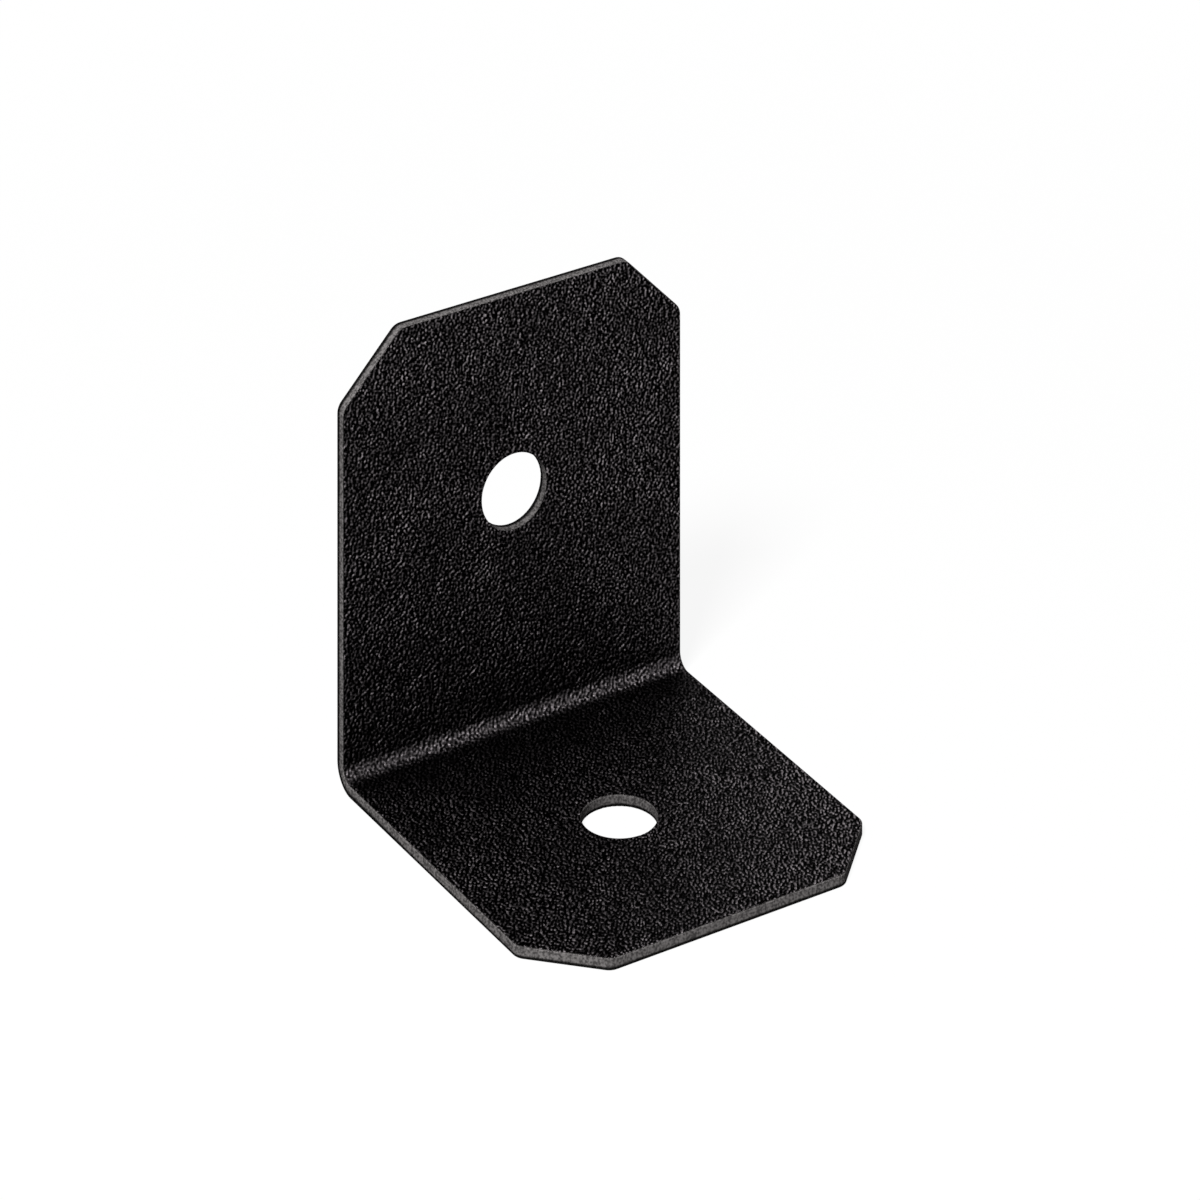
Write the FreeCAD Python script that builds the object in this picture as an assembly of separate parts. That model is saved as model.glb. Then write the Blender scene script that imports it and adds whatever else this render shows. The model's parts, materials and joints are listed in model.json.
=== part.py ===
import FreeCAD, Part
import math
import os

# Framing angle: one sheet of steel, folded once to a right angle, with clipped corners and a bolt hole in each
# leg. The fold runs along X, the upright stands at the back (+Y) and the lower leg reaches forward (-Y).
# The origin is on the underside, in the middle of the footprint.

# Driving dimensions, in millimetres
WIDTH = 63.5
UPRIGHT_HEIGHT = 70.7
LOWER_LEG_DEPTH = 65.45
SHEET = 1.95
INSIDE_BEND_RADIUS = 2.3
CORNER_CLIP = 10.5
CLIP_ROUNDING = 2.5
HOLE_DIAMETER = 12.0
UPPER_HOLE_FROM_TOP = 31.75
LOWER_HOLE_FROM_FRONT = 31.75
COAT_ROUNDING = 0.25

# Limits for telling edges apart and for cutting clear through
SAME_LENGTH = 1e-6
SHARP_TURN = math.radians(30)
PUNCH_OVERRUN = 1.0

# Places that follow from the driving dimensions
BACK = LOWER_LEG_DEPTH / 2
FRONT = -LOWER_LEG_DEPTH / 2
OUTSIDE_BEND_RADIUS = INSIDE_BEND_RADIUS + SHEET
UPPER_HOLE_HEIGHT = UPRIGHT_HEIGHT - UPPER_HOLE_FROM_TOP
LOWER_HOLE_Y = FRONT + LOWER_HOLE_FROM_FRONT

X_AXIS = FreeCAD.Vector(1, 0, 0)
Y_AXIS = FreeCAD.Vector(0, 1, 0)
Z_AXIS = FreeCAD.Vector(0, 0, 1)


def in_section(y, z):
    """A point of the section, at the left end of the fold."""
    return FreeCAD.Vector(-WIDTH / 2, y, z)


def line(start, end):
    return Part.LineSegment(start, end).toShape()


def bend_arc(radius):
    """The quarter turn of one skin of the sheet, from the upright down to the lower leg."""
    centre_y = BACK - OUTSIDE_BEND_RADIUS
    centre_z = OUTSIDE_BEND_RADIUS
    half_way = radius * math.cos(math.pi / 4)
    upper = in_section(centre_y + radius, centre_z)
    middle = in_section(centre_y + half_way, centre_z - half_way)
    lower = in_section(centre_y, centre_z - radius)
    return Part.Arc(upper, middle, lower).toShape(), upper, lower


def folded_sheet():
    """The sheet's section, an L with a rounded fold, drawn out along the width."""
    outer_bend, outer_upper, outer_lower = bend_arc(OUTSIDE_BEND_RADIUS)
    inner_bend, inner_upper, inner_lower = bend_arc(INSIDE_BEND_RADIUS)
    top_back = in_section(BACK, UPRIGHT_HEIGHT)
    top_front = in_section(BACK - SHEET, UPRIGHT_HEIGHT)
    front_low = in_section(FRONT, 0)
    front_high = in_section(FRONT, SHEET)
    outline = [
        line(top_back, outer_upper),
        outer_bend,
        line(outer_lower, front_low),
        line(front_low, front_high),
        line(front_high, inner_lower),
        inner_bend,
        line(inner_upper, top_front),
        line(top_front, top_back),
    ]
    section = Part.Face(Part.Wire(Part.sortEdges(outline)[0]))
    return section.extrude(X_AXIS * WIDTH)


def crosses_sheet(edge):
    """True for a straight edge that runs through the sheet from one skin to the other."""
    straight = edge.Curve.TypeId == "Part::GeomLine"
    return straight and abs(edge.Length - SHEET) < SAME_LENGTH


def clip_corners(sheet):
    """Cuts the corners of both free ends at 45 degrees and rounds the corners that this leaves."""
    corners = [edge for edge in sheet.Edges if crosses_sheet(edge)]
    clipped = sheet.makeChamfer(CORNER_CLIP, corners)
    clip_ends = [edge for edge in clipped.Edges if crosses_sheet(edge)]
    return clipped.makeFillet(CLIP_ROUNDING, clip_ends)


def hole_punch(skin_point, direction):
    """A punch that goes in at a point of one skin and comes clear through the other."""
    start = skin_point - direction * PUNCH_OVERRUN
    return Part.makeCylinder(HOLE_DIAMETER / 2, SHEET + 2 * PUNCH_OVERRUN, start, direction)


def punch_holes(sheet):
    upper = hole_punch(FreeCAD.Vector(0, BACK - SHEET, UPPER_HOLE_HEIGHT), Y_AXIS)
    lower = hole_punch(FreeCAD.Vector(0, LOWER_HOLE_Y, 0), Z_AXIS)
    return sheet.cut([upper, lower])


def is_sharp(solid, edge):
    """True where the two faces beside an edge meet at an angle, and not in one smooth run."""
    faces = solid.ancestorsOfType(edge, Part.Face)
    if len(faces) < 2:
        return False
    middle = edge.valueAt((edge.FirstParameter + edge.LastParameter) / 2)
    normals = [face.normalAt(*face.Surface.parameter(middle)) for face in faces]
    return abs(normals[0].dot(normals[1])) < math.cos(SHARP_TURN)


def round_cut_edges(sheet):
    """Rounds the rims of the outline and of the holes, on both skins, as the coat does."""
    rims = [edge for edge in sheet.Edges if is_sharp(sheet, edge)]
    return sheet.makeFillet(COAT_ROUNDING, rims)


def framing_angle():
    sheet = clip_corners(folded_sheet())
    return round_cut_edges(punch_holes(sheet))


os.makedirs("parts", exist_ok=True)
framing_angle().exportStep("parts/framing_angle.step")
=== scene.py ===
import bpy
import json
import math
from mathutils import Matrix, Vector


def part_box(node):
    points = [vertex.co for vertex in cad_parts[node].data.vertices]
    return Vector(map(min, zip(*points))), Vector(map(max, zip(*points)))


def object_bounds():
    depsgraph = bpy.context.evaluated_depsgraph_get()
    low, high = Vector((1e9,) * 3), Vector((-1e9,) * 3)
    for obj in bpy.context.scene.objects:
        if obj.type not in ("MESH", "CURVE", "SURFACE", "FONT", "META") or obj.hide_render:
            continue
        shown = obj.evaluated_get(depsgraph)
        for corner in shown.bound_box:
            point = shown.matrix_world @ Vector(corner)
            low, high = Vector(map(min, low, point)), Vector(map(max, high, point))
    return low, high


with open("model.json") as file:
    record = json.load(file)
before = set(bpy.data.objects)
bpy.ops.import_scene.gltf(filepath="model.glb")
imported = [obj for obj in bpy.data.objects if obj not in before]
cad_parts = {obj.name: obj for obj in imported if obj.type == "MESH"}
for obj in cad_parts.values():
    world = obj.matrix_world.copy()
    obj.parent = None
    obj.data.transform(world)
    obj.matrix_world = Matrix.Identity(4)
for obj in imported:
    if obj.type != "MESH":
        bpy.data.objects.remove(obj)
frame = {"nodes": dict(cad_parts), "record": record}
cad_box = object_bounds()
MILLIMETRE = 0.001

# The folded sheet, in metres: what the frame's boxes don't give
SHEET = 0.00195
INSIDE_BEND_RADIUS = 0.0023
OUTSIDE_BEND_RADIUS = INSIDE_BEND_RADIUS + SHEET
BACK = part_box("framing_angle")[1].y

# The photograph's view: its angles, how far away the camera stands, and the point in mid-picture
VIEW_AZIMUTH = math.radians(-31.9355)
VIEW_ELEVATION = math.radians(28.0242)
CAMERA_DISTANCE = 1.1932
CAMERA_AIM = Vector((0.0032, 0.0099, 0.0300))
CAMERA_LENS = 226.0

# The grain of the coat on the skins: how far apart its crests lie, in metres, and how its noise is turned,
# in radians, and stretched, so that the grains lie longer along one slant
GRAIN_SPACING = 0.000455
GRAIN_TURN = (-0.5, 0.0, -0.55)
GRAIN_STRETCH = (1.0, 2.0, 1.0)

# How high the grain stands on the upright and at the lower leg's free end, in metres, and how rough it is
# from its pits to its crests
GRAIN_HEIGHT = 0.00026
LOWER_LEG_GRAIN_HEIGHT = 0.00036
GRAIN_RANGE = (0.3, 0.7)
GRAIN_ROUGHNESS = (0.46, 0.38)

# Crests are told from pits by four points around each point, at a tetrahedron's corners: how far off these
# lie along each axis, and how far they are all set to one side, in metres. That set-off makes the flanks
# facing left stand out as crests, a painted light from the left
TETRAHEDRON = ((1, 1, 1), (1, -1, -1), (-1, 1, -1), (-1, -1, 1))
CREST_REACH = 0.000082
LIT_FLANK_LEAN = Vector((-0.00006, 0.000022, 0.00001))

# What the skins mirror in their pits, on their crests and at a glancing angle
PIT_COLOUR = (0.00036, 0.00024, 0.0003, 1.0)
CREST_COLOUR = (0.276, 0.251, 0.263, 1.0)
GRAZING_TINT = (0.50, 0.50, 0.50, 1.0)

# How the crests glint: in patches some millimetres across, with brighter clusters in them
PATCH_SPACING = 0.011
PATCH_DETAIL = 2.0
PATCH_RANGE = (0.35, 0.65)
GLINT_CONTRAST = (4.15, 5.55)
CLUSTER_SPACING = 0.0022
CLUSTER_RANGE = (0.60, 0.78)
CLUSTER_GAIN = 1.65
GLINT_LEVEL = 0.29
GLINT_POWER = 3.0

# Where they glint otherwise: lighter in the bend, a painted highlight along it, weaker towards the inside
# corner, a painted shade there, and stronger at the lower leg's free end, painted glints there, with the
# distances over which that fades, in metres
BEND_FADE = (-0.0005, 0.0010)
BEND_GLINT_LEVEL = 0.415
BEND_CONTRAST_SHARE = 0.88
CORNER_SHADE_FADE = 0.014
CORNER_SHADE_SHARE = 0.62
LOWER_LEG_FADE = 0.03
LOWER_LEG_GLINT_GAIN = 1.31

# The coat on the cut edges, thinner and greyer, with streaks that run through the sheet and finer flecks,
# and what share of that grey is left in the holes, as painted shade, and at the outer rim
EDGE_DARK = (0.070, 0.066, 0.0655, 1.0)
EDGE_LIGHT = (0.220, 0.208, 0.206, 1.0)
EDGE_ROUGHNESS = 0.6
STREAK_SPACING = 0.00035
STREAK_DETAIL = 2.0
STREAK_HEIGHT = 0.000008
STREAK_RANGE = (0.38, 0.62)
FLECK_SPACING = 0.00032
FLECK_SHARE = 0.6
HOLE_WALL_SHADE_SHARE = 0.7
OUTER_RIM_SHARE = 0.06

# How far below a skin its glints fade to a share and the edge begins, how far a hole's rim reaches, and
# how wide the outer rim's dark line is on each leg, in metres, with the shares of that width where it fades
GLINT_RIM = (0.00002, 0.00010)
RIM_GLINT_SHARE = 0.25
EDGE_RIM = (0.00001, 0.00010)
HOLE_RIM = 0.0004
UPRIGHT_RIM = 0.00115
LOWER_LEG_RIM = 0.00074
OUTER_RIM_FADE = (0.55, 1.0)

# The stage: sizes in metres, lamp power in watts. The floor shows mostly as plain white, and only so past
# its fade, and the floor and the surround light the object less than they show
FLOOR_SIZE = 12.0
FLOOR_WHITE_SHARE = 0.92
FLOOR_FADE = (0.12, 0.35)
FLOOR_BOUNCE = 0.2
WORLD_FILL = 0.03
KEY_LIGHT = {"direction": (-0.51, -0.39, 0.765), "distance": 3.0, "size": 0.7, "power": 120.0}
BEND_CARD = {"direction": (0.47, -0.47, 0.75), "distance": 1.5, "size": 1.2, "power": 11.6}
WHITE = (1.0, 1.0, 1.0, 1.0)


def add_node(tree, kind, inputs=None, **settings):
    """Adds a shader node, sets its properties, and links or sets its inputs."""
    node = tree.nodes.new("ShaderNode" + kind)
    for name, value in settings.items():
        setattr(node, name, value)
    for name, value in (inputs or {}).items():
        if isinstance(value, bpy.types.NodeSocket):
            tree.links.new(value, node.inputs[name])
        else:
            node.inputs[name].default_value = value
    return node


def calculate(tree, operation, *values, clamp=False):
    """A Math node on sockets and numbers."""
    node = add_node(tree, "Math", dict(enumerate(values)), operation=operation, use_clamp=clamp)
    return node.outputs["Value"]


def vector(tree, operation, *values, result="Vector"):
    """A Vector Math node on sockets and vectors."""
    return add_node(tree, "VectorMath", dict(enumerate(values)), operation=operation).outputs[result]


def noise(tree, place, spacing, detail=0.0):
    """Soft noise whose grains lie about that far apart."""
    inputs = {"Vector": place, "Scale": 1 / spacing, "Detail": detail}
    return add_node(tree, "TexNoise", inputs).outputs["Fac"]


def spread(tree, value, low, high, to_low=0.0, to_high=1.0, smooth=True):
    """Maps the stretch from low to high of a value onto another stretch."""
    inputs = {"Value": value, "From Min": low, "From Max": high, "To Min": to_low, "To Max": to_high}
    kind = "SMOOTHSTEP" if smooth else "LINEAR"
    return add_node(tree, "MapRange", inputs, interpolation_type=kind).outputs["Result"]


def blend(tree, share, first, second, kind="FLOAT"):
    """Goes from the first value or colour to the second as the share goes from 0 to 1."""
    inputs = {"Factor": share, "A": first, "B": second}
    return add_node(tree, "Mix", inputs, data_type=kind).outputs["Result"]


def turn(tree, place):
    """Turns a place out of line with the faces, along the slant that the grains lie longer on."""
    inputs = {"Vector": place, "Rotation": GRAIN_TURN, "Scale": GRAIN_STRETCH}
    return add_node(tree, "Mapping", inputs, vector_type="TEXTURE").outputs["Vector"]


def empty_material(name):
    """A new material and its node tree, with no nodes in it yet."""
    material = bpy.data.materials.new(name)
    material.use_nodes = True
    material.node_tree.nodes.clear()
    return material, material.node_tree


def place_in_sheet(tree, axes):
    """How far a point lies from the inner skin, and its shares of the bend, the corner and the lower leg.

    The distance from the bend's centre line, counted only past it, is the inside radius on the inner
    skin and the outside radius on the outer one, along the legs as well as round the bend."""
    past_y = calculate(tree, "SUBTRACT", axes.outputs["Y"], BACK - OUTSIDE_BEND_RADIUS)
    past_z = calculate(tree, "SUBTRACT", OUTSIDE_BEND_RADIUS, axes.outputs["Z"])
    outward = {"X": calculate(tree, "MAXIMUM", past_y, 0.0), "Y": calculate(tree, "MAXIMUM", past_z, 0.0)}
    from_centre = add_node(tree, "CombineXYZ", outward).outputs["Vector"]
    radius = vector(tree, "LENGTH", from_centre, result="Value")
    depth = calculate(tree, "SUBTRACT", radius, INSIDE_BEND_RADIUS)
    bend = spread(tree, calculate(tree, "MINIMUM", past_y, past_z), *BEND_FADE)
    along = calculate(tree, "SUBTRACT", past_z, past_y)
    # painted shade: the glints weaken towards the inside corner
    corner = spread(tree, calculate(tree, "ABSOLUTE", along), 0.0, CORNER_SHADE_FADE, 1.0, 0.0)
    lower_leg = spread(tree, along, 0.0, LOWER_LEG_FADE)
    return depth, bend, corner, lower_leg


def from_nearer_skin(tree, depth):
    """How far a point lies from the nearer of the two skins."""
    from_middle = calculate(tree, "ABSOLUTE", calculate(tree, "SUBTRACT", depth, SHEET / 2))
    return calculate(tree, "SUBTRACT", SHEET / 2, from_middle)


def hole_share(tree, place):
    """1 inside the holes and at their rims, 0 elsewhere, from the distance to the axis of each bore."""
    inside = 0.0
    for mount in frame["record"]["mounts"]:
        if mount["kind"] == "bore":
            offset = vector(tree, "SUBTRACT", place, mount["pos_m"])
            across = vector(tree, "CROSS_PRODUCT", offset, mount["axis"])
            from_axis = vector(tree, "LENGTH", across, result="Value")
            reach = mount["dims"]["r_mm"] * MILLIMETRE + HOLE_RIM
            inside = calculate(tree, "MAXIMUM", inside, calculate(tree, "LESS_THAN", from_axis, reach))
    return inside


def place_on_skin(tree, axes):
    """Each point carried through the sheet to the inner skin, so that noise runs through as streaks."""
    carried = {
        "X": axes.outputs["X"],
        "Y": calculate(tree, "MINIMUM", axes.outputs["Y"], BACK - SHEET),
        "Z": calculate(tree, "MAXIMUM", axes.outputs["Z"], SHEET),
    }
    return add_node(tree, "CombineXYZ", carried).outputs["Vector"]


def skin_grain(tree, place):
    """The grain, and how far each point of it stands above the points around it and a little to its left,
    so that flanks facing left stand out: a painted side light.
    """
    grain = noise(tree, turn(tree, place), GRAIN_SPACING)
    around = 0.0
    for corner in TETRAHEDRON:
        # the points are all set a little to the left, so that flanks facing left stand out: a painted side
        # light
        beside = vector(tree, "ADD", place, Vector(corner) * CREST_REACH + LIT_FLANK_LEAN)
        near = noise(tree, turn(tree, beside), GRAIN_SPACING)
        around = calculate(tree, "MULTIPLY_ADD", near, 1 / len(TETRAHEDRON), around)
    return grain, calculate(tree, "SUBTRACT", grain, around)


def glint_contrast(tree, place, bend, corner, lower_leg):
    """How strongly crests stand out from pits, in patches and clusters, and from place to place: less
    towards the inside corner as painted shade, more on the lower leg as painted glints.
    """
    patches = noise(tree, place, PATCH_SPACING, PATCH_DETAIL)
    clusters = noise(tree, place, CLUSTER_SPACING)
    shares = [
        spread(tree, clusters, *CLUSTER_RANGE, 1.0, CLUSTER_GAIN),
        blend(tree, bend, 1.0, BEND_CONTRAST_SHARE),
        # the corner's share paints shade towards the inside corner
        blend(tree, corner, 1.0, CORNER_SHADE_SHARE),
        # the lower leg's share paints stronger glints on the leg that faces up
        blend(tree, lower_leg, 1.0, LOWER_LEG_GLINT_GAIN),
    ]
    contrast = spread(tree, patches, *PATCH_RANGE, *GLINT_CONTRAST)
    for share in shares:
        contrast = calculate(tree, "MULTIPLY", contrast, share)
    return contrast


def skin_colour(tree, crest_and_lit_flank, contrast, bend, below_skin):
    """Black with glinting crests, among them the left-facing flanks as a painted side light, faint on the
    rims.
    """
    swing = calculate(tree, "MULTIPLY", crest_and_lit_flank, contrast)
    # the bend's lighter level is a painted highlight along it
    level = blend(tree, bend, GLINT_LEVEL, BEND_GLINT_LEVEL)
    glint = calculate(tree, "ADD", swing, level, clamp=True)
    on_flat = spread(tree, below_skin, *GLINT_RIM, 1.0, RIM_GLINT_SHARE)
    strength = calculate(tree, "POWER", calculate(tree, "MULTIPLY", glint, on_flat), GLINT_POWER)
    return blend(tree, strength, PIT_COLOUR, CREST_COLOUR, kind="RGBA")


def edge_streaks(tree, place, axes):
    """The streaks that cutting leaves through the sheet, broken up by flecks."""
    streaks = noise(tree, place_on_skin(tree, axes), STREAK_SPACING, STREAK_DETAIL)
    flecks = noise(tree, turn(tree, place), FLECK_SPACING)
    return blend(tree, FLECK_SHARE, streaks, flecks)


def edge_colour(tree, place, depth, lower_leg, streaks):
    """Grey in lighter and darker streaks, darker in the holes, as painted shade, and at the outer rim."""
    light = spread(tree, streaks, *STREAK_RANGE, smooth=False)
    grey = blend(tree, light, EDGE_DARK, EDGE_LIGHT, kind="RGBA")
    # painted shade in the holes
    hole_shade = blend(tree, hole_share(tree, place), 1.0, HOLE_WALL_SHADE_SHARE)
    rim = blend(tree, lower_leg, UPRIGHT_RIM, LOWER_LEG_RIM)
    from_outer = calculate(tree, "DIVIDE", calculate(tree, "SUBTRACT", SHEET, depth), rim)
    at_rim = spread(tree, from_outer, *OUTER_RIM_FADE, OUTER_RIM_SHARE, 1.0)
    return vector(tree, "MULTIPLY", grey, calculate(tree, "MULTIPLY", hole_shade, at_rim))


def coat_height(tree, edge, lower_leg, grain, streaks):
    """The coat's relief in metres: the grain on the skins, and the streaks on the edges."""
    crest_height = blend(tree, lower_leg, GRAIN_HEIGHT, LOWER_LEG_GRAIN_HEIGHT)
    skin_height = calculate(tree, "MULTIPLY", grain, crest_height)
    edge_height = calculate(tree, "MULTIPLY", streaks, STREAK_HEIGHT)
    return blend(tree, edge, skin_height, edge_height)


def powder_coat():
    """Black powder coat: fine glinting grain on the skins, smoother and greyer over the cut edges."""
    material, tree = empty_material("powder_coat")
    place = add_node(tree, "TexCoord").outputs["Object"]
    axes = add_node(tree, "SeparateXYZ", {"Vector": place})
    depth, bend, corner, lower_leg = place_in_sheet(tree, axes)
    below_skin = from_nearer_skin(tree, depth)
    edge = spread(tree, below_skin, *EDGE_RIM)
    grain, crest_and_lit_flank = skin_grain(tree, place)
    streaks = edge_streaks(tree, place, axes)

    contrast = glint_contrast(tree, place, bend, corner, lower_leg)
    on_skin = skin_colour(tree, crest_and_lit_flank, contrast, bend, below_skin)
    on_edge = edge_colour(tree, place, depth, lower_leg, streaks)
    skin_roughness = spread(tree, grain, *GRAIN_RANGE, *GRAIN_ROUGHNESS)
    height = coat_height(tree, edge, lower_leg, grain, streaks)
    bump = add_node(tree, "Bump", {"Strength": 1.0, "Distance": 1.0, "Height": height})
    shader = add_node(tree, "BsdfPrincipled", {
        "Base Color": blend(tree, edge, on_skin, on_edge, kind="RGBA"),
        "Metallic": calculate(tree, "SUBTRACT", 1.0, edge),
        "Roughness": blend(tree, edge, skin_roughness, EDGE_ROUGHNESS),
        "Normal": bump.outputs["Normal"],
        "Specular IOR Level": 0.0,
        "Specular Tint": GRAZING_TINT,
    })
    add_node(tree, "OutputMaterial", {"Surface": shader.outputs["BSDF"]})
    return material


def coat_part():
    """Gives the sheet its powder coat all over."""
    part = frame["nodes"]["framing_angle"]
    part.data.materials.clear()
    part.data.materials.append(powder_coat())


def white_for_rays(tree):
    """1 for the rays that show the background: seen, mirrored or seen through something."""
    path = add_node(tree, "LightPath")
    seen = calculate(tree, "MAXIMUM", path.outputs["Is Camera Ray"], path.outputs["Is Glossy Ray"])
    return calculate(tree, "MAXIMUM", seen, path.outputs["Is Transmission Ray"])


def floor_material():
    """A pale floor that keeps a light shadow round the object and shows white further out."""
    material, tree = empty_material("floor")
    seen = white_for_rays(tree)
    level = blend(tree, seen, FLOOR_BOUNCE, 1.0)
    grey = add_node(tree, "CombineColor", {"Red": level, "Green": level, "Blue": level}).outputs["Color"]
    matt = add_node(tree, "BsdfDiffuse", {"Color": grey}).outputs["BSDF"]
    white = add_node(tree, "Emission", {"Color": WHITE, "Strength": 1.0}).outputs["Emission"]
    from_middle = vector(tree, "LENGTH", add_node(tree, "TexCoord").outputs["Object"], result="Value")
    whiteness = spread(tree, from_middle, *FLOOR_FADE, FLOOR_WHITE_SHARE, 1.0)
    share = calculate(tree, "MULTIPLY", seen, whiteness)
    mixed = add_node(tree, "MixShader", {"Fac": share, 1: matt, 2: white})
    add_node(tree, "OutputMaterial", {"Surface": mixed.outputs["Shader"]})
    return material


def floor():
    """A wide square floor under the object."""
    mesh = bpy.data.meshes.new("floor")
    half = FLOOR_SIZE / 2
    corners = [(-half, -half, 0.0), (half, -half, 0.0), (half, half, 0.0), (-half, half, 0.0)]
    mesh.from_pydata(corners, [], [(0, 1, 2, 3)])
    mesh.materials.append(floor_material())
    plane = bpy.data.objects.new("floor", mesh)
    bpy.context.scene.collection.objects.link(plane)
    plane.location.z = cad_box[0].z


def world_light():
    """A white surround that shows in the coat and lights the object a little from all sides."""
    world = bpy.data.worlds.new("studio")
    bpy.context.scene.world = world
    world.use_nodes = True
    tree = world.node_tree
    tree.nodes.clear()
    strength = blend(tree, white_for_rays(tree), WORLD_FILL, 1.0)
    background = add_node(tree, "Background", {"Color": WHITE, "Strength": strength})
    add_node(tree, "OutputWorld", {"Surface": background.outputs["Background"]})


def softbox(name, direction, distance, size, power):
    """A square area light that looks at the object from a direction."""
    light = bpy.data.lights.new(name, "AREA")
    light.shape = "SQUARE"
    light.size = size
    light.energy = power
    box = bpy.data.objects.new(name, light)
    bpy.context.scene.collection.objects.link(box)
    towards = Vector(direction).normalized()
    box.location = (cad_box[0] + cad_box[1]) / 2 + towards * distance
    box.rotation_mode = "QUATERNION"
    box.rotation_quaternion = (-towards).to_track_quat("-Z", "Y")
    return box


def studio_lights():
    """A softbox from the upper left, and a card that is only mirrored, most of all along the bend."""
    softbox("key", **KEY_LIGHT)
    card = softbox("bend_card", **BEND_CARD)
    card.visible_diffuse = False


def camera():
    """The photograph's view. Its upright lines stay parallel, so the picture's up is the world's up."""
    right = Vector((math.cos(VIEW_AZIMUTH), math.sin(VIEW_AZIMUTH), 0.0))
    up = Vector((0.0, 0.0, 1.0))
    level = Vector((-math.sin(VIEW_AZIMUTH), math.cos(VIEW_AZIMUTH), 0.0))
    aim = level * math.cos(VIEW_ELEVATION) - up * math.sin(VIEW_ELEVATION)
    view = Matrix((right, up, -aim)).transposed().to_4x4()
    view.translation = CAMERA_AIM - aim * CAMERA_DISTANCE

    holder = bpy.data.objects.new("camera_holder", None)
    bpy.context.scene.collection.objects.link(holder)
    data = bpy.data.cameras.new("camera")
    data.lens = CAMERA_LENS
    shot = bpy.data.objects.new("camera", data)
    bpy.context.scene.collection.objects.link(shot)
    shot.parent = holder
    shot.matrix_parent_inverse = view
    bpy.context.scene.camera = shot


coat_part()
floor()
world_light()
studio_lights()
camera()
bpy.context.scene.view_settings.view_transform = "Standard"
